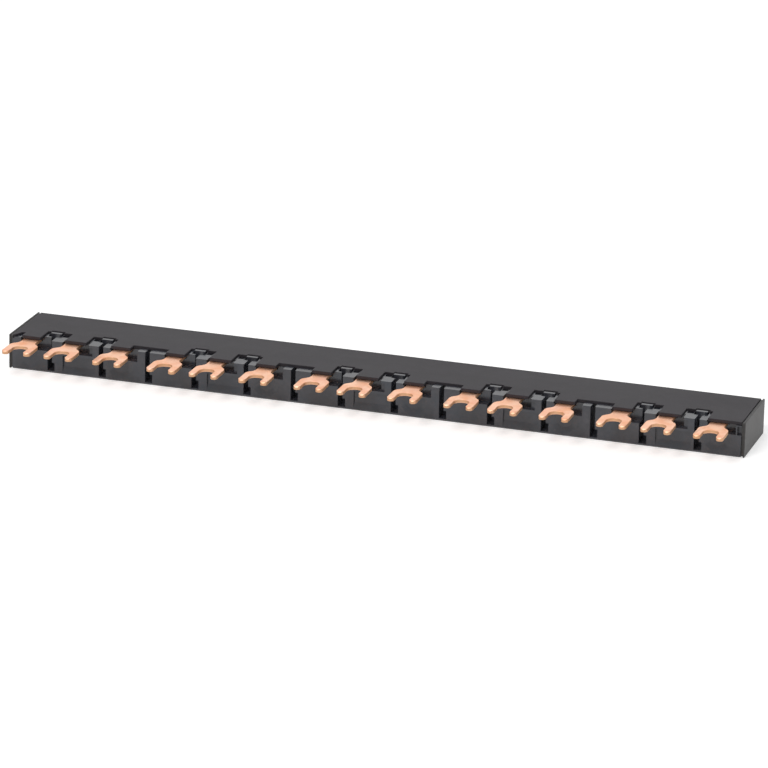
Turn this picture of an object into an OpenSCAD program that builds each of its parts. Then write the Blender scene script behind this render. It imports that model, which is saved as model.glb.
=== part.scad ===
// Three-phase comb busbar for a row of motor-protection switches, each 45 mm wide.
// Three flat copper combs lie one above another in a moulded housing. Insulating
// strips part them, and the tabs of the two lower combs are joggled up, so that all
// the forks leave the housing in one plane, just under the cover.
//
// The origin is the middle of the housing's underside. +X runs along the bar, -Y
// points at the switches and +Z is up. Most modules draw from the front face of the
// cells, so there Y is the depth behind that face.

/* [Row of switches] */
// Number of switches that the bar feeds
switch_count = 5; // [2:1:6]
// Distance from one switch to the next
switch_pitch = 45; // [44:0.5:54]
// How much shorter the bar is than its row of switches
row_gap = 2; // [0.5:0.5:3]
// Middle of the first phase's fork, from the middle of its switch
fork_1_x = -14.7; // [-14.9:0.1:-14.6]
// Middle of the second phase's fork
fork_2_x = -1.7; // [-1.8:0.1:-1.5]
// Middle of the third phase's fork
fork_3_x = 13.5; // [13.4:0.1:13.8]

/* [Housing] */
// Depth from the front of the cells to the back
body_d = 23.5; // [16.5:0.5:28]
// Height with the cover on
body_h = 10.5; // [9:0.25:14]
// Thickness of the floor
floor_t = 1.4; // [1:0.1:1.8]
// Thickness of the back wall
back_t = 1.4; // [1:0.1:2]
// Distance from the front to the chamber that holds the combs
front_t = 8.3; // [8:0.1:9.9]
// Bevel along the bottom of the front
front_bevel = 0.4; // [0.2:0.1:0.6]
// Rounding of the long edges at the back
back_r = 0.6; // [0.3:0.1:0.9]

/* [Gate marks] */
// Distance from the front to the gate marks on the underside
gate_y = 17; // [15:0.5:18]
// Diameter of the dimple round a gate mark on the underside
gate_d = 4; // [3:0.5:6]
// Depth of the dimple
gate_h = 0.3; // [0.2:0.05:0.4]
// Diameter of the gate mark in its middle
nub_d = 1.2; // [0.8:0.1:1.6]
// Height of the gate mark
nub_h = 0.2; // [0.1:0.05:0.25]

/* [Cells] */
// Slot between the first and second cell, from the middle of the switch
slot_1_x = -8.7; // [-8.9:0.1:-8.6]
// Slot between the second and third cell
slot_2_x = 7.4; // [7.3:0.1:7.5]
// How far the slot between two switches stands left of the line between them
slot_3_shift = 0.6; // [0:0.1:0.9]
// Width of a slot
slot_w = 1.3; // [0.8:0.1:1.5]
// Depth of a slot
slot_d = 4.5; // [3:0.1:4.6]
// Height of the web left under a slot
slot_web = 0.7; // [0.4:0.1:1]
// Width of the wider foot of a slot
foot_w = 2.1; // [1.6:0.1:2.6]
// Height of that foot
foot_h = 2.5; // [1.5:0.1:3]
// Rounding of the front edges of slots and windows
edge_r = 0.3; // [0.1:0.05:0.35]
// How far the tops of the cells stand above the seam with the cover
cell_rise = 0.4; // [0.2:0.05:0.6]

/* [Fork windows] */
// Depth of the window that a fork leaves through
window_d = 3.2; // [2:0.1:3.4]
// Height of the window below the copper
sill_drop = 1.8; // [1:0.1:2]
// Room in the window left of a fork's neck
window_left = 0.5; // [0.4:0.1:0.6]
// Room in the window right of a fork's neck
window_right = 2.8; // [1.5:0.1:2.8]

/* [Cell fronts] */
// Depth of the pockets in the cell fronts
pocket_d = 0.6; // [0.4:0.1:1.2]
// Height over which the foot of a pocket slopes back
pocket_slope = 1.6; // [0.8:0.1:2]
// Height of the plinth below the pockets
plinth_h = 0.9; // [0.7:0.1:1.2]
// Height of the sill between a pocket and the window above it
sill_h = 0.8; // [0.5:0.1:1.2]
// Width of the square pocket of the second cell
square_pocket_w = 10.3; // [7:0.1:10.4]
// Radius of the round-bottomed pocket of the third cell
round_pocket_r = 4; // [3:0.1:4.2]
// Width of the recess right of the second fork's window
side_recess_w = 1.3; // [0.8:0.1:1.6]
// Depth of the recesses beside the windows
side_recess_d = 1.2; // [0.8:0.1:3]
// Height of the roof over those recesses
recess_roof = 0.3; // [0.2:0.1:0.6]
// Wall between the last window and the recess at the end of the bar
end_recess_wall = 0.5; // [0.4:0.1:0.8]

/* [Cover] */
// Thickness of the cover
cover_t = 1; // [0.9:0.1:1.4]
// Set-back of the cover's front edge over the forks
lip_setback = 0.4; // [0:0.1:0.6]
// Depth of the bay at the slot between two switches, from the front
bay_d = 3.4; // [2.5:0.1:4]
// Distance from the third fork's neck to the bay
bay_gap = 0.6; // [0.5:0.1:0.9]
// Depth of the notches at the slots beside the second cell, from the front
notch_d = 6.8; // [6.8:0.1:7.2]
// Reach of a notch from its slot away from the second cell
notch_out = 3; // [2.6:0.1:3.1]
// Reach of a notch from its slot towards the second cell
notch_in = 4.7; // [4.2:0.1:4.8]
// Width of the slanted edge at the cover's left front corner
corner_slant = 2; // [1:0.1:2.4]
// Gap between the cover's edge and the cell tops
cover_gap = 0.15; // [0.1:0.05:0.2]

/* [Cover tongues] */
// Width of a tongue that holds the cover at the back
tongue_w = 9; // [6:0.5:12]
// Length of a tongue below the seam
tongue_l = 3.4; // [2.6:0.1:4.5]
// Thickness of a tongue
tongue_t = 0.6; // [0.5:0.1:0.8]
// Height of the catch under a tongue's window
catch_h = 1; // [0.6:0.1:1.4]
// Gap round a tongue
tongue_gap = 0.15; // [0.1:0.05:0.2]

/* [Snap hooks] */
// Width of a hook
hook_w = 3.3; // [2.4:0.1:3.6]
// Thickness of a hook's post
hook_t = 1.1; // [0.8:0.1:1.2]
// Reach of the hook's nose over the cover
nose_l = 0.8; // [0.6:0.1:0.9]
// Height of the nose
nose_h = 0.45; // [0.4:0.05:0.5]
// Gap round a hook
hook_gap = 0.4; // [0.3:0.05:0.5]
// Depth of the well that a hook stands in
hook_well_h = 4.5; // [3:0.1:5]
// Width of the release pocket beside a hook
release_w = 1.9; // [1.2:0.1:2]
// Depth of the release pocket
release_h = 1.2; // [0.6:0.1:2]
// Distance from a slot to the middle of the release pocket
release_x = 3.1; // [3:0.1:3.2]

/* [Copper combs] */
// Thickness of the copper
copper_t = 1; // [0.8:0.1:1.2]
// Inside radius of the bends
bend_r = 0.6; // [0.4:0.1:0.6]
// Distance from the front to the riser of a joggled tab
riser_y = 5.6; // [5.4:0.1:5.7]
// Width of a tab, and of the neck of its fork
neck_w = 4.7; // [4:0.1:5]

/* [Forks] */
// Reach of the forks in front of the cells
fork_reach = 12.4; // [11:0.1:16]
// Width over both prongs
fork_w = 8.7; // [8.2:0.1:10]
// Width of the slot for the clamping screw
fork_slot_w = 4.6; // [4.3:0.1:5.2]
// Depth of that slot
fork_slot_d = 6.3; // [5:0.1:6.6]
// Length of the neck in front of the cells
neck_reach = 1.7; // [1.4:0.1:3]
// Length of the curved shoulder from neck to prong
shoulder_l = 4.2; // [2.8:0.1:4.4]
// Bevel that leads the tips under the clamp
tip_bevel = 0.35; // [0.2:0.05:0.45]

/* [Insulating strips] */
// Thickness of a strip's web
web_t = 1; // [0.6:0.1:1.2]
// Width of a strip's edge rails
rail_w = 1.4; // [1:0.1:2]

/* [End caps] */
// Thickness of the visible plate
cap_t = 0.5; // [0.4:0.1:1.6]
// Width of the groove between plate and housing
groove_w = 0.6; // [0.3:0.05:0.8]
// Depth of that groove
groove_d = 0.3; // [0.2:0.05:0.8]
// Length of the plug in the chamber
plug_l = 2.2; // [1.5:0.1:2.4]
// Rounding of the plate's long edges
cap_r = 0.4; // [0.2:0.1:0.8]

/* [Fits] */
// Room beside a tab in its channel
tab_gap = 0.3; // [0.2:0.05:0.35]
// Room round the combs and the insulating strips in the chamber
chamber_gap = 0.3; // [0.2:0.05:0.4]
// Room between the top comb and the cover
lid_gap = 0.1; // [0.05:0.05:0.2]
// Room round the end caps' plugs
plug_gap = 0.1; // [0.05:0.05:0.2]

/* [Hidden] */

// overshoot of a cut past the face that it opens
over = 1;
// sides of the round shapes, large and small
round_fn = 48;
small_fn = 24;
// straight steps along each arc of a fork's shoulder
shoulder_steps = 8;
// how far the tip of a catch stays inside the back face
catch_relief = 0.1;

black = [0.13, 0.13, 0.14];
grey = [0.32, 0.32, 0.33];
copper = [0.85, 0.55, 0.38];

// the bar's length, and the length between the end caps
overall_l = switch_count * switch_pitch - row_gap;
body_l = overall_l - 2 * (cap_t + groove_w);
inner_l = body_l - 2 * (plug_l + chamber_gap);

// heights
seam_z = body_h - cover_t;
fork_z = seam_z - lid_gap - copper_t;
comb_z = [floor_t, (floor_t + fork_z) / 2, fork_z];
sill_z = fork_z - sill_drop;
pocket_top = sill_z - sill_h;
pocket_h = pocket_top - plinth_h;

// the chamber, and the strips of copper in it
chamber_d = body_d - back_t - front_t;
strip_y = front_t + chamber_gap;
strip_w = chamber_d - 2 * chamber_gap;

// places along a switch, from its middle
fork_x = [fork_1_x, fork_2_x, fork_3_x];
slot_3_x = switch_pitch / 2 - slot_3_shift;
window_start = [for (x = fork_x) x - neck_w / 2 - window_left];
// the first window runs on into its slot
window_end = [slot_1_x, fork_2_x + neck_w / 2 + window_right, fork_3_x + neck_w / 2 + window_right];

// middles of the switches along the bar
last = switch_count - 1;
switch_x = [for (i = [0 : last]) (i - last / 2) * switch_pitch];

// ---- frame and drawing helpers ----

// Moves what is drawn from the front of the cells into the part's frame.
module from_front()
  translate([0, -body_d / 2, 0])
    children();

// Sweeps a section drawn in Y and Z over the length l, from x to +X.
module sweep_x(x, l)
  translate([x, 0, 0])
    rotate([90, 0, 90])
      linear_extrude(height = l)
        children();

// Raises a plan from z by the height h.
module raise(z, h)
  translate([0, 0, z])
    linear_extrude(height = h)
      children();

// Repeats its children at every switch.
module at_switches()
  for (x = switch_x)
    translate([x, 0, 0])
      children();

// Corner of a square that a rounding of radius r takes away, at the origin.
module corner_waste(r)
  difference() {
    translate([-over, -over])
      square(r + over);
    translate([r, r])
      circle(r = r, $fn = small_fn);
  }

// Plan of a cut that is w wide and d deep, with its front edges rounded.
module front_cut(x, w, d) {
  translate([x, -over])
    square([w, d + over]);
  difference() {
    translate([x - edge_r, -over])
      square([w + 2 * edge_r, over + edge_r]);
    for (edge = [x - edge_r, x + w + edge_r])
      translate([edge, edge_r])
        circle(r = edge_r, $fn = small_fn);
  }
}

// ---- openings in the cover's front edge ----

// Notch at a slot beside the second cell, shrunk by g. side is 1 where the second
// cell lies to the right of the slot, and -1 where it lies to the left.
module notch(slot_x, side, g) {
  x0 = slot_x - (side > 0 ? notch_out : notch_in);
  translate([x0 + g, -over])
    square([notch_out + notch_in - 2 * g, over + notch_d - g]);
}

// Both notches of a switch.
module notches(g) {
  notch(slot_1_x, 1, g);
  notch(slot_2_x, -1, g);
}

// Bay between the last fork of one switch and the first fork of the next, from x0.
module bay(x0, g) {
  x1 = switch_pitch + window_start[0];
  translate([x0 + g, -over])
    square([x1 - x0 - 2 * g, over + bay_d - g]);
}

// Bay at the left end of the bar, with a slanted edge at the corner.
module end_bay(g) {
  x0 = -body_l / 2;
  x1 = switch_x[0] + window_start[0];
  polygon([[x0 + g, -over], [x1 - g, -over], [x1 - g, bay_d - g], [x0 + corner_slant + g, bay_d - g]]);
}

// All the openings, each shrunk by g, with their bays from bay_x.
module cover_openings(bay_x, g) {
  at_switches()
    notches(g);
  for (i = [0 : last - 1])
    translate([switch_x[i], 0])
      bay(bay_x, g);
  end_bay(g);
}

// ---- housing ----

module housing_section()
  difference() {
    square([body_d, seam_z]);
    polygon([[-over, -over], [front_bevel + over, -over], [-over, front_bevel + over]]);
    translate([body_d, 0])
      mirror([1, 0])
        corner_waste(back_r);
  }

// Tops of the cells, which fill the openings in the cover.
module cell_tops()
  raise(seam_z - over, cell_rise + over)
    intersection() {
      cover_openings(window_end[2], cover_gap);
      translate([-body_l / 2, 0])
        square([body_l, notch_d]);
    }

// Upright slot between two cells, with a wider foot.
module cell_slot(x)
  translate([x - slot_w / 2, 0, 0]) {
    raise(slot_web, body_h)
      front_cut(0, slot_w, slot_d);
    raise(slot_web, foot_h)
      front_cut(0, foot_w, slot_d);
  }

// Slots of all the cells. The last cell ends at the end cap.
module cell_slots() {
  at_switches() {
    cell_slot(slot_1_x);
    cell_slot(slot_2_x);
  }
  for (i = [0 : last - 1])
    cell_slot(switch_x[i] + slot_3_x);
}

// Window, passage and channel for the tab of one phase.
module tab_way(phase) {
  x = fork_x[phase];
  w = neck_w + 2 * tab_gap;
  raise(sill_z, body_h)
    front_cut(window_start[phase], window_end[phase] - window_start[phase], window_d);
  translate([x - w / 2, 0, fork_z])
    cube([w, riser_y, body_h]);
  translate([x - w / 2, riser_y - bend_r, comb_z[phase]])
    cube([w, front_t - riser_y + bend_r + over, body_h]);
}

// Square pocket under the second cell's window, with a sloped foot.
module square_pocket()
  sweep_x(window_start[1], square_pocket_w)
    polygon([[0, plinth_h], [pocket_d, plinth_h + pocket_slope], [pocket_d, pocket_top],
             [-over, pocket_top], [-over, plinth_h]]);

// Round-bottomed pocket under the third cell's fork, flared to the front.
module round_pocket() {
  r = min(round_pocket_r, pocket_h);
  z = plinth_h + r;
  back_r = r - pocket_slope;
  translate([fork_3_x, 0, z]) {
    rotate([-90, 0, 0])
      cylinder(r1 = r, r2 = back_r, h = pocket_d, $fn = round_fn);
    rotate([90, 0, 0])
      cylinder(r = r, h = over, $fn = round_fn);
    linear_extrude(height = pocket_top - z)
      polygon([[-r, -over], [r, -over], [r, 0], [back_r, pocket_d], [-back_r, pocket_d], [-r, 0]]);
  }
}

// Recess in the cell fronts from x0 to x1, as high as the windows but under a roof.
module front_recess(x0, x1)
  translate([x0, -over, sill_z])
    cube([x1 - x0, over + side_recess_d, seam_z - recess_roof - sill_z]);

// Recess that widens the second window.
module side_recess()
  front_recess(window_end[1] - over / 2, window_end[1] + side_recess_w);

// Recess between the last window and the end of the bar.
module end_recess()
  front_recess(switch_x[last] + window_end[2] + end_recess_wall, body_l / 2 + over);

// Well for the hook behind a slot, and the release pocket beside it.
module hook_well(slot_x, side) {
  w = hook_w + 2 * hook_gap;
  translate([slot_x - w / 2, slot_d - over / 2, seam_z - hook_well_h])
    cube([w, notch_d - slot_d + over / 2, body_h]);
  translate([slot_x + side * release_x - release_w / 2, slot_d, seam_z + cell_rise - release_h])
    cube([release_w, notch_d - slot_d - cover_gap, body_h]);
}

// Snap hook behind a slot. Its nose lies in a step in the cover.
module hook(slot_x) {
  back = notch_d - hook_gap;
  nose_z = body_h - nose_h;
  sweep_x(slot_x - hook_w / 2, hook_w)
    polygon([[back - hook_t, floor_t], [back, floor_t], [back, nose_z], [notch_d + nose_l, nose_z],
             [back, body_h], [back - hook_t, body_h]]);
}

module hooks()
  at_switches() {
    hook(slot_1_x);
    hook(slot_2_x);
  }

// Recess in the back wall for a tongue of the cover, with a catch in its middle.
module tongue_recess()
  difference() {
    translate([-tongue_w / 2 - tongue_gap, body_d - tongue_t, seam_z - tongue_l - tongue_gap])
      cube([tongue_w + 2 * tongue_gap, tongue_t + over, tongue_l + tongue_gap + over]);
    catch();
  }

// Wedge-shaped catch that a tongue's window snaps over.
module catch() {
  z0 = seam_z - tongue_l + catch_h;
  sweep_x(-tongue_w / 4, tongue_w / 2)
    polygon([[body_d - tongue_t - over, z0], [body_d - catch_relief, z0],
             [body_d - tongue_t, z0 + catch_h], [body_d - tongue_t - over, z0 + catch_h]]);
}

module chamber()
  translate([-body_l / 2 - over, front_t, floor_t])
    cube([body_l + 2 * over, chamber_d, body_h]);

// Dimple on the underside, with the mark of the gate in its middle.
module gate_mark()
  translate([0, gate_y, 0])
    difference() {
      translate([0, 0, -over])
        cylinder(d = gate_d, h = over + gate_h, $fn = round_fn);
      translate([0, 0, gate_h - nub_h])
        cylinder(d = nub_d, h = nub_h + over, $fn = small_fn);
    }

module housing()
  color(black)
    from_front() {
      difference() {
        union() {
          sweep_x(-body_l / 2, body_l)
            housing_section();
          cell_tops();
        }
        chamber();
        cell_slots();
        at_switches() {
          for (phase = [0 : 2])
            tab_way(phase);
          side_recess();
          square_pocket();
          round_pocket();
          gate_mark();
          hook_well(slot_1_x, 1);
          hook_well(slot_2_x, -1);
        }
        end_recess();
        at_switches()
          tongue_recess();
      }
      hooks();
    }

// ---- cover ----

// Step that a hook's nose lies in.
module hook_step(slot_x) {
  w = hook_w + 2 * hook_gap;
  translate([slot_x - w / 2, notch_d - over, body_h - nose_h - cover_gap])
    cube([w, over + nose_l + cover_gap, body_h]);
}

// Tongue of the cover, with the window that snaps over the catch.
module tongue() {
  window_z = seam_z - tongue_l + catch_h - tongue_gap;
  difference() {
    translate([-tongue_w / 2, body_d - tongue_t, seam_z - tongue_l])
      cube([tongue_w, tongue_t, tongue_l + cover_t / 2]);
    translate([-tongue_w / 4 - tongue_gap, body_d - tongue_t - over, window_z])
      cube([tongue_w / 2 + 2 * tongue_gap, tongue_t + 2 * over, catch_h + tongue_gap]);
  }
}

module cover()
  color(black)
    from_front() {
      difference() {
        raise(seam_z, cover_t)
          difference() {
            translate([-body_l / 2, lip_setback])
              square([body_l, body_d - lip_setback]);
            cover_openings(fork_3_x + neck_w / 2 + bay_gap, 0);
          }
        at_switches() {
          hook_step(slot_1_x);
          hook_step(slot_2_x);
        }
        sweep_x(-body_l / 2 - over, body_l + 2 * over)
          translate([body_d, body_h])
            rotate(180)
              corner_waste(back_r);
      }
      at_switches()
        tongue();
    }

// ---- copper combs ----

// Quarter of a bend, drawn in the quadrant that the signs give.
module bend(side_y, side_z)
  intersection() {
    difference() {
      circle(r = bend_r + copper_t, $fn = round_fn);
      circle(r = bend_r, $fn = round_fn);
    }
    scale([side_y, side_z])
      square(bend_r + copper_t);
  }

// Section of a tab, from the strip of its comb to the front of the cells.
module tab_section(z) {
  if (z < fork_z) {
    low = z + copper_t + bend_r;
    rear = riser_y + copper_t + bend_r;
    translate([rear, z])
      square([strip_y - rear + over, copper_t]);
    translate([rear, low])
      bend(-1, -1);
    translate([riser_y, low])
      square([copper_t, fork_z - bend_r - low]);
    translate([riser_y - bend_r, fork_z - bend_r])
      bend(1, 1);
    translate([0, fork_z])
      square([riser_y - bend_r, copper_t]);
  } else
    translate([0, z])
      square([strip_y + over, copper_t]);
}

// Half of a fork's outline, from its middle line to +X. The front face of the
// cells is at Y = 0 and the fork points to -Y.
module fork_half() {
  neck = neck_w / 2;
  outer = fork_w / 2;
  inner = fork_slot_w / 2;
  step = outer - neck;
  // two equal arcs make the shoulder's S, with this radius and angle
  s = (step * step + shoulder_l * shoulder_l) / (4 * step);
  turn = asin(shoulder_l / (2 * s)) / shoulder_steps;
  tip_r = (outer - inner) / 2;
  tip_y = -fork_reach + tip_r;
  hollow = [for (i = [0 : shoulder_steps])
    [neck + s * (1 - cos(i * turn)), -neck_reach - s * sin(i * turn)]];
  crown = [for (i = [shoulder_steps - 1 : -1 : 0])
    [outer - s * (1 - cos(i * turn)), -neck_reach - shoulder_l + s * sin(i * turn)]];

  polygon(concat([[0, tip_y], [0, 0], [neck, 0]], hollow, crown, [[outer, tip_y]]));
  translate([inner + tip_r, tip_y])
    circle(r = tip_r, $fn = small_fn);
}

// Outline of a fork with its round-bottomed slot.
module fork_plan()
  difference() {
    for (side = [0, 1])
      mirror([side, 0])
        fork_half();
    screw_slot();
  }

// Slot for the clamping screw.
module screw_slot() {
  r = fork_slot_w / 2;
  bottom = fork_reach - fork_slot_d + r;
  translate([0, -bottom])
    circle(r = r, $fn = round_fn);
  translate([-r, -fork_reach - over])
    square([fork_slot_w, fork_reach + over - bottom]);
}

// Wedge taken off the upper edge of the tips.
module tip_waste()
  sweep_x(-fork_w, 2 * fork_w)
    polygon([[-fork_reach - over, fork_z + copper_t + over],
             [-fork_reach - over, fork_z + copper_t - tip_bevel - over],
             [-fork_reach + tip_bevel + over, fork_z + copper_t + over]]);

// One comb: a strip of copper with a fork for each switch.
module comb(phase) {
  z = comb_z[phase];
  color(copper)
    from_front() {
      translate([-inner_l / 2, strip_y, z])
        cube([inner_l, strip_w, copper_t]);
      at_switches()
        translate([fork_x[phase], 0, 0]) {
          sweep_x(-neck_w / 2, neck_w)
            tab_section(z);
          difference() {
            raise(fork_z, copper_t)
              fork_plan();
            tip_waste();
          }
        }
    }
}

// ---- insulating strips ----

// Strip with a thin web between two rails, which fills the height between two combs.
module insulating_strip(below) {
  z0 = comb_z[below] + copper_t;
  z1 = comb_z[below + 1];
  web_z = (z0 + z1 - web_t) / 2;
  color(grey)
    from_front()
      sweep_x(-inner_l / 2, inner_l) {
        translate([strip_y, web_z])
          square([strip_w, web_t]);
        for (y = [strip_y, strip_y + strip_w - rail_w])
          translate([y, z0])
            square([rail_w, z1 - z0]);
      }
}

// ---- end caps ----

// Section of an end cap's plate, inset by g.
module cap_section(g)
  translate([g, g])
    difference() {
      square([body_d - 2 * g, body_h - 2 * g]);
      corner_waste(cap_r);
      translate([body_d - 2 * g, 0])
        rotate(90)
          corner_waste(cap_r);
      translate([body_d - 2 * g, body_h - 2 * g])
        rotate(180)
          corner_waste(cap_r);
      translate([0, body_h - 2 * g])
        rotate(-90)
          corner_waste(cap_r);
    }

// End cap, drawn for the right end: plate, neck in the groove, and plug.
module end_cap() {
  sweep_x(body_l / 2 + groove_w, cap_t)
    cap_section(0);
  sweep_x(body_l / 2, groove_w)
    cap_section(groove_d);
  translate([body_l / 2 - plug_l, front_t + plug_gap, floor_t + plug_gap])
    cube([plug_l, chamber_d - 2 * plug_gap, seam_z - floor_t - 2 * plug_gap]);
}

module end_cap_left()
  color(black)
    from_front()
      mirror([1, 0, 0])
        end_cap();

module end_cap_right()
  color(black)
    from_front()
      end_cap();

housing();
cover();
comb(0);  // comb_l1
comb(1);  // comb_l2
comb(2);  // comb_l3
insulating_strip(0);  // strip_lower
insulating_strip(1);  // strip_upper
end_cap_left();
end_cap_right();
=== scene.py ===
# Looks of a three-phase comb busbar: moulded housing, clipped cover, copper forks, end caps.
# All sizes are in metres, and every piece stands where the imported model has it.
import math
import bmesh
import bpy
from mathutils import Matrix, Vector


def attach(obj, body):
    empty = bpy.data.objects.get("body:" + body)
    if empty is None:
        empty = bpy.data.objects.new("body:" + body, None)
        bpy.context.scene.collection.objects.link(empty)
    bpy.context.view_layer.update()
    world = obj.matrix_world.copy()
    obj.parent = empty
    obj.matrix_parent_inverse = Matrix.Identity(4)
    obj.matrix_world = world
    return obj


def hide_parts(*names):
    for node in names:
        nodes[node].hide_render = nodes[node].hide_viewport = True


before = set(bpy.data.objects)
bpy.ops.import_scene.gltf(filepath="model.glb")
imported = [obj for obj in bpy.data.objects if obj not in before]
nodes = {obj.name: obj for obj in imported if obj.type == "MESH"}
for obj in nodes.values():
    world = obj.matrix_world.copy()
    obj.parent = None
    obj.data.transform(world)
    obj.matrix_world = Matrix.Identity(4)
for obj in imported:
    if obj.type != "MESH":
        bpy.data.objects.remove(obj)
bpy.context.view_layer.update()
scene = bpy.context.scene
mm = 0.001

# camera: its place, the point that it looks at, its tilt, lens and sensor, and how far it sees
cameraView = {"place": (0.39637, -1.27403, 0.44658), "aim": (0.00454, -0.01175, 0.00909),
              "roll": 0.0235, "lens": 226.55, "sensor": 36, "reach": 20}


def linked(name, data):
    item = bpy.data.objects.new(name, data)
    scene.collection.objects.link(item)
    return item


def aimItem(item, place, aim, roll=0):
    look = Vector(aim) - Vector(place)
    turn = look.to_track_quat("-Z", "Y").to_matrix() @ Matrix.Rotation(roll, 3, "Z")
    item.matrix_world = Matrix.Translation(place) @ turn.to_4x4()


def makeCamera(view):
    data = bpy.data.cameras.new("camera")
    data.lens = view["lens"]
    data.sensor_width = view["sensor"]
    data.clip_end = view["reach"]
    scene.camera = linked("camera", data)
    aimItem(scene.camera, view["place"], view["aim"], view["roll"])


makeCamera(cameraView)
print("camera placed")


class Value:
    # wraps a socket, so that sums on it add Math nodes
    def __init__(self, socket):
        self.socket = socket

    def math(self, operation, *others):
        node = self.socket.id_data.nodes.new("ShaderNodeMath")
        node.operation = operation
        for i, part in enumerate((self,) + others):
            connect(node.inputs[i], part)
        return Value(node.outputs[0])

    def __add__(self, other):
        return self.math("ADD", other)

    __radd__ = __add__

    def __sub__(self, other):
        return self.math("SUBTRACT", other)

    def __rsub__(self, other):
        return (self * -1).math("ADD", other)

    def __mul__(self, other):
        return self.math("MULTIPLY", other)

    __rmul__ = __mul__

    def clamp(self):
        # held between 0 and 1
        held = self.math("ADD", 0)
        held.socket.node.use_clamp = True
        return held

    def spread(self, level, gain, strength=1):
        # how far it rises above a level, from 0 up to the strength
        return ((self - level) * gain).clamp() * strength


def connect(socket, part):
    if isinstance(part, Value):
        socket.id_data.links.new(part.socket, socket)
    else:
        socket.default_value = part


# sockets of a Mix node that is set to colours
colourMix = {"factor": 0, "first": 6, "second": 7, "result": 2}


class Finish:
    # the nodes of a material or of the world, all made by one method
    def __init__(self, owner):
        self.owner = owner
        owner.use_nodes = True
        self.tree = owner.node_tree
        self.tree.nodes.clear()

    def node(self, kind, settings=None, inputs=None, output=0):
        node = self.tree.nodes.new("ShaderNode" + kind)
        for name, value in (settings or {}).items():
            setattr(node, name, value)
        for name, value in (inputs or {}).items():
            connect(node.inputs[name], value)
        return Value(node.outputs[output]) if len(node.outputs) else None

    def mix(self, factor, first, second):
        sockets = {colourMix["factor"]: factor, colourMix["first"]: first, colourMix["second"]: second}
        return self.node("Mix", {"data_type": "RGBA"}, sockets, colourMix["result"])

    def noise(self, scales, detail, roughness):
        place = self.node("TexCoord", None, None, "Object")
        place = self.node("Mapping", None, {"Vector": place, "Scale": scales})
        return self.node("TexNoise", None, {"Vector": place, "Scale": 1, "Detail": detail,
                                            "Roughness": roughness})

    def bump(self, height, distance):
        return self.node("Bump", None, {"Height": height, "Distance": distance})

    def seenBy(self, *rays):
        # 1 for these kinds of ray and 0 for the rest
        return sum(self.node("LightPath", None, None, ray) for ray in rays).clamp()

    def shade(self, inputs):
        self.node("OutputMaterial", None, {"Surface": self.node("BsdfPrincipled", None, inputs)})
        return self.owner


def evenly(scale):
    return (scale, scale, scale)


def grey(value):
    return (value, value, value, 1)


plastics = {
    "housing_plastic": {
        "name": "housing plastic", "colour": (0.033, 0.033, 0.040, 1), "pale": (0.056, 0.056, 0.068, 1),
        "cool": (0.026, 0.036, 0.052, 1), "cast": 0.7, "gloss": 0.20, "shine": 0.62, "streak": 0.16,
        "grainSize": 0.5 * mm, "grainDepth": 0.004 * mm},
    # the cover's colours are darker than the housing's as painted shade, which offsets the stronger lamp
    # light on the top
    "cover_plastic": {
        "name": "cover plastic", "colour": (0.024, 0.021, 0.025, 1), "pale": (0.034, 0.029, 0.035, 1),
        "cool": (0.027, 0.023, 0.030, 1), "cast": 0.5, "gloss": 0.56, "shine": 0.28, "streak": 0.12,
        "grainSize": 0.3 * mm, "grainDepth": 0.012 * mm},
    "cap_plastic": {
        "name": "end cap plastic", "colour": (0.037, 0.035, 0.034, 1), "pale": (0.053, 0.051, 0.049, 1),
        "cool": (0.035, 0.036, 0.037, 1), "cast": 0.5, "gloss": 0.50, "shine": 0.45, "streak": 0.12,
        "grainSize": 0.3 * mm, "grainDepth": 0.008 * mm},
}
# what the plastics share; a pattern is its scale along X, Y and Z, its detail and its roughness,
# and the melt runs along the bar
moulding = {"grainDetail": 3, "grainRoughness": 0.6, "flow": ((18, 60, 60), 3, 0.55),
            "bloom": (evenly(260), 4, 0.65), "tint": (evenly(95), 3, 0.6),
            "middle": 0.5, "bloomLevel": 0.45, "bloomGain": 2.2, "flowGain": 0.8,
            "tintLevel": 0.46, "tintGain": 4, "grainGloss": 0.10, "ior": 1.5}


def mouldedPlastic(look):
    finish = Finish(bpy.data.materials.new(look["name"]))
    grain = finish.noise(evenly(1 / look["grainSize"]), moulding["grainDetail"], moulding["grainRoughness"])
    streak = finish.noise(*moulding["flow"]) - moulding["middle"]
    bloom = (finish.noise(*moulding["bloom"]) - moulding["bloomLevel"]) * moulding["bloomGain"]
    colour = finish.mix((bloom + streak * moulding["flowGain"]).clamp(), look["colour"], look["pale"])
    tint = finish.noise(*moulding["tint"])
    cast = tint.spread(moulding["tintLevel"], moulding["tintGain"], look["cast"])
    colour = finish.mix(cast, colour, look["cool"])
    rough = (streak * look["streak"] + (grain - moulding["middle"]) * moulding["grainGloss"]
             + look["gloss"])
    return finish.shade({"Base Color": colour, "Roughness": rough, "IOR": moulding["ior"],
                         "Specular IOR Level": look["shine"],
                         "Normal": finish.bump(grain, look["grainDepth"])})


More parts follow.
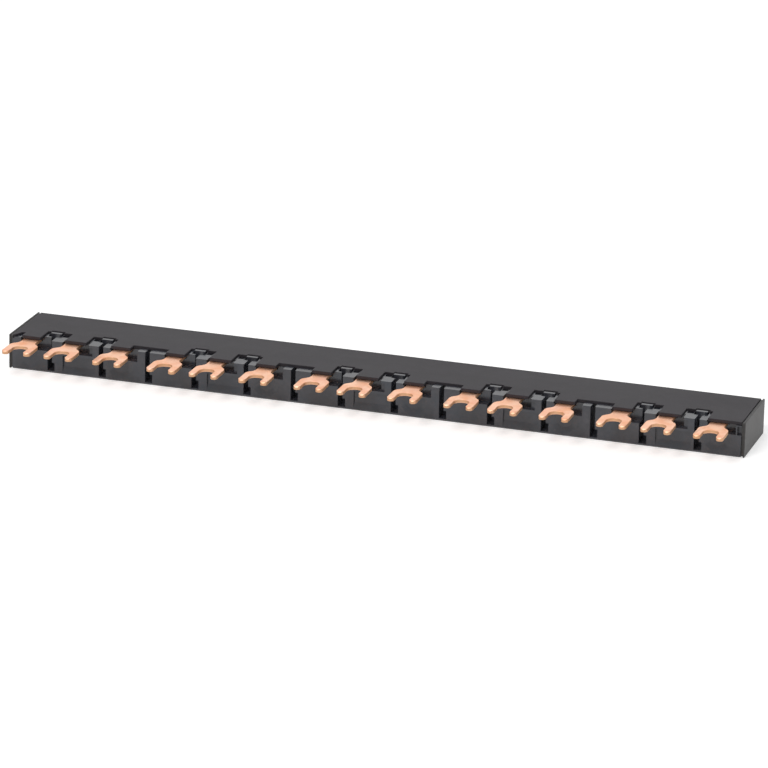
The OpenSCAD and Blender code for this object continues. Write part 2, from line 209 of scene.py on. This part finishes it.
# copper: its colours, how each colour spreads over its pattern (level, gain and strength), and the
# patterns, with lines left by the rolls on the flat faces and upright marks on the stamped sides
copperLook = {
    "bright": (0.92, 0.57, 0.40, 1), "warm": (0.87, 0.43, 0.24, 1), "pink": (0.91, 0.53, 0.42, 1),
    # the side colour is painted shade: a darker amber laid on the faces that turn away from up
    "sideShade": (0.56, 0.34, 0.19, 1), "stain": (0.50, 0.22, 0.11, 1),
    "warmSpread": (0.40, 3.2), "pinkSpread": (0.50, 3, 0.7), "stainSpread": (0.58, 3, 0.35),
    "lines": ((60, 5000, 5000), 3, 0.6), "cloud": (evenly(230), 3, 0.6), "tint": (evenly(120), 2, 0.5),
    "spots": (evenly(900), 4, 0.7), "shear": ((6000, 6000, 250), 2, 0.6),
    # tilt sets how soon a face counts as a side; the two after it set the painted side shade: how much the
    # upright marks vary it, and its least strength
    "tilt": 1.6, "sideShadeMarkGain": 0.5, "sideShadeLeast": 0.55, "middle": 0.5, "gloss": 0.46,
    "lineGloss": 0.22, "cloudGloss": 0.20, "sideGloss": 0.14, "depth": 0.005 * mm}


def rolledCopper(look):
    finish = Finish(bpy.data.materials.new("rolled copper"))
    lines, cloud, tint, spots, shear = [
        finish.noise(*look[name]) for name in ("lines", "cloud", "tint", "spots", "shear")]
    normal = finish.node("NewGeometry", None, None, "Normal")
    facing = finish.node("SeparateXYZ", None, {"Vector": normal}, "Z")
    side = (1 - facing.math("ABSOLUTE") * look["tilt"]).clamp()
    colour = finish.mix(cloud.spread(*look["warmSpread"]), look["bright"], look["warm"])
    colour = finish.mix(tint.spread(*look["pinkSpread"]), colour, look["pink"])
    colour = finish.mix(spots.spread(*look["stainSpread"]), colour, look["stain"])
    # painted shade: the side faces are darkened towards amber, streaked by the upright marks
    colour = finish.mix(side * (shear * look["sideShadeMarkGain"] + look["sideShadeLeast"]), colour, look["sideShade"])
    rough = ((lines - look["middle"]) * look["lineGloss"] + (cloud - look["middle"]) * look["cloudGloss"]
             + side * look["sideGloss"] + look["gloss"])
    height = lines * (1 - side) + shear * side
    return finish.shade({"Base Color": colour, "Metallic": 1, "Roughness": rough,
                         "Normal": finish.bump(height, look["depth"])})


sheetLook = {"dark": (0.10, 0.10, 0.10, 1), "pale": (0.16, 0.16, 0.155, 1), "paleSpread": (0.35, 2),
             "speck": (evenly(2200), 3, 0.6), "middle": 0.5, "speckGloss": 0.2, "gloss": 0.62,
             "depth": 0.008 * mm}


def fibreSheet(look):
    finish = Finish(bpy.data.materials.new("insulating sheet"))
    speck = finish.noise(*look["speck"])
    colour = finish.mix(speck.spread(*look["paleSpread"]), look["dark"], look["pale"])
    rough = (speck - look["middle"]) * look["speckGloss"] + look["gloss"]
    return finish.shade({"Base Color": colour, "Roughness": rough,
                         "Normal": finish.bump(speck, look["depth"])})


finishes = {slot: mouldedPlastic(look) for slot, look in plastics.items()}
finishes["copper"] = rolledCopper(copperLook)
finishes["insulating_sheet"] = fibreSheet(sheetLook)
print("finishes made")

# rounded nodes: their material slot, edge radius, and whether edges without room for it stay sharp
rounded = {
    "cover": ("cover_plastic", 0.14 * mm, True),
    "end_cap_left": ("cap_plastic", 0.14 * mm, False),
    "end_cap_right": ("cap_plastic", 0.14 * mm, False),
    "comb_l1": ("copper", 0.10 * mm, True),
    "comb_l2": ("copper", 0.10 * mm, True),
    "comb_l3": ("copper", 0.10 * mm, True),
}
# nodes that keep their own mesh: the cells leave no room to round the housing's edges
plain = {"housing": "housing_plastic", "strip_lower": "insulating_sheet",
         "strip_upper": "insulating_sheet"}
# least angle of an edge to round, least angle to the edge beside it, and how flat faces are joined
rounding = {"sharp": math.radians(35), "clear": math.radians(25), "segments": 2,
            "flat": math.radians(0.3), "merge": 1e-7}


def isSharp(edge):
    return not edge.is_manifold or edge.calc_face_angle() >= rounding["sharp"]


def hasRoom(edge, radius):
    # no other edge close beside it, where the rounding would run off in a spike
    if edge.calc_length() < 2 * radius:
        return False
    for corner in edge.verts:
        along = edge.other_vert(corner).co - corner.co
        for other in corner.link_edges:
            beside = other.other_vert(corner).co - corner.co
            if other is not edge and along.angle(beside) < rounding["clear"]:
                return False
    return True


def softened(name, slotName, radius, careful):
    # a merged copy of the node with its sharp edges rounded
    mesh = bmesh.new()
    mesh.from_mesh(nodes[name].data)
    bmesh.ops.remove_doubles(mesh, verts=mesh.verts, dist=rounding["merge"])
    bmesh.ops.dissolve_limit(mesh, angle_limit=rounding["flat"], verts=mesh.verts, edges=mesh.edges,
                             use_dissolve_boundaries=False, delimit=set())
    weight = mesh.edges.layers.float.new("bevel_weight_edge")
    for edge in mesh.edges:
        sharp = isSharp(edge)
        edge[weight] = sharp and edge.is_manifold and (not careful or hasRoom(edge, radius))
        edge.smooth = not sharp or bool(edge[weight])
    data = bpy.data.meshes.new(name + "_soft")
    mesh.to_mesh(data)
    mesh.free()
    data.materials.append(finishes[slotName])
    data.polygons.foreach_set("use_smooth", [True] * len(data.polygons))
    piece = linked(name + "_soft", data)
    bevel = piece.modifiers.new("edges", "BEVEL")
    bevel.width = radius
    bevel.segments = rounding["segments"]
    bevel.limit_method = "WEIGHT"
    bevel.use_clamp_overlap = False
    smooth = piece.modifiers.new("normals", "WEIGHTED_NORMAL")
    smooth.keep_sharp = True
    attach(piece, "root")
    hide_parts(name)


for name, shape in rounded.items():
    softened(name, *shape)
for name, slotName in plain.items():
    nodes[name].data.materials.clear()
    nodes[name].data.materials.append(finishes[slotName])
print("edges rounded")

# floor: half its width, its shade and its glow; world: how bright it lights what isn't seen direct
studio = {"half": 3, "floor": 0.80, "glow": 0.46, "world": 0.62}
# lamps: place, size and power, each aimed at the middle of the bar
lamps = {
    "front light": ((-0.45, -1.15, 1.5), (2.2, 1.4), 6.5),
    "side light": ((1.6, 0.2, 0.8), (0.8, 0.8), 2.6),
    "top light": ((-0.15, -0.85, 1.05), (0.40, 0.32), 4.8),
    "back light": ((-0.4, 1.5, 0.9), (2.0, 0.6), 2.5),
}


def makeFloor():
    mesh = bmesh.new()
    bmesh.ops.create_grid(mesh, x_segments=1, y_segments=1, size=studio["half"])
    data = bpy.data.meshes.new("floor")
    mesh.to_mesh(data)
    mesh.free()
    finish = Finish(bpy.data.materials.new("white floor"))
    base = finish.node("BsdfDiffuse", None, {"Color": grey(studio["floor"])})
    seen = finish.seenBy("Is Camera Ray", "Is Glossy Ray")
    glow = finish.node("Emission", None, {"Color": grey(1), "Strength": seen * studio["glow"]})
    both = finish.node("AddShader", None, {0: base, 1: glow})
    finish.node("OutputMaterial", None, {"Surface": both})
    data.materials.append(finish.owner)
    linked("floor", data)


def makeWorld():
    scene.world = bpy.data.worlds.new("studio")
    finish = Finish(scene.world)
    seen = finish.seenBy("Is Camera Ray", "Is Glossy Ray", "Is Transmission Ray")
    light = seen * (1 - studio["world"]) + studio["world"]
    finish.node("OutputWorld", None, {"Surface": finish.node("Background", None, {"Strength": light})})


def makeLamp(name, place, size, power):
    data = bpy.data.lights.new(name, "AREA")
    data.shape = "RECTANGLE"
    data.size, data.size_y = size
    data.energy = power
    aimItem(linked(name, data), place, (0, 0, 0))


makeFloor()
makeWorld()
for name, lamp in lamps.items():
    makeLamp(name, *lamp)
scene.view_settings.view_transform = "Standard"
print("studio ready")
